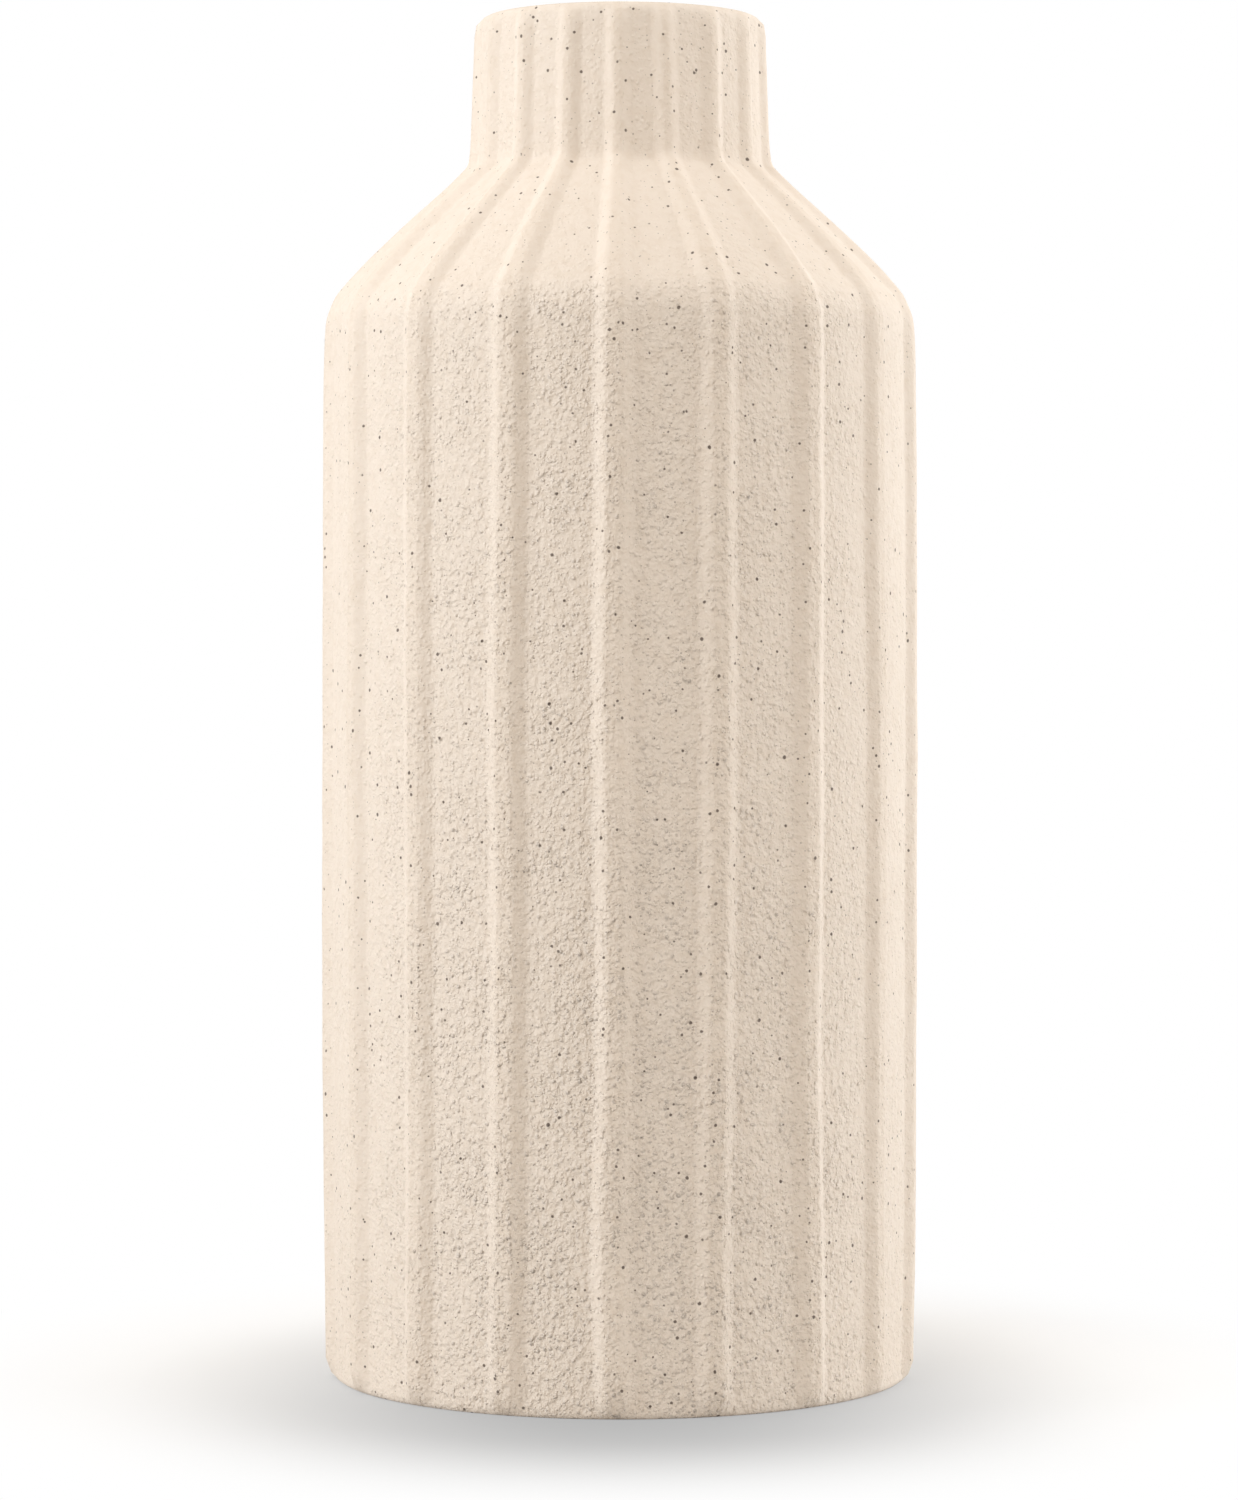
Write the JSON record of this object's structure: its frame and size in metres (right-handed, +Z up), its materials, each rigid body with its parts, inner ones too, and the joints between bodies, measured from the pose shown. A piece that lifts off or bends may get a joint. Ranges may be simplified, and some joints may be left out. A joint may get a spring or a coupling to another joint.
{
  "type": "bottle vase",
  "caption": "Tall straight-walled bottle vase with a steep shoulder, a short open neck and raised upright ribs that run unbroken from the foot to the lip.",
  "frame": {"origin": "middle of the foot, at the height of the surface it stands on", "axes": "+Z up along the vase's axis towards the mouth, -Y towards the viewer of the picture, +X to the viewer's right"},
  "size_m": [0.141, 0.1416, 0.32],
  "materials": {
    "stoneware": "matte",
    "glaze": "gloss"
  },
  "bodies": {
    "root": {"floor_slab": "stoneware", "wall_cylinder": "stoneware", "shoulder": "stoneware", "neck_collar": "stoneware", "rib_01": "stoneware", "rib_02": "stoneware", "rib_03": "stoneware", "rib_04": "stoneware", "rib_05": "stoneware", "rib_06": "stoneware", "rib_07": "stoneware", "rib_08": "stoneware", "rib_09": "stoneware", "rib_10": "stoneware", "rib_11": "stoneware", "rib_12": "stoneware", "rib_13": "stoneware", "rib_14": "stoneware", "rib_15": "stoneware", "rib_16": "stoneware", "rib_17": "stoneware", "rib_18": "stoneware", "glaze_lining": "glaze"}
  },
  "joints": []
}
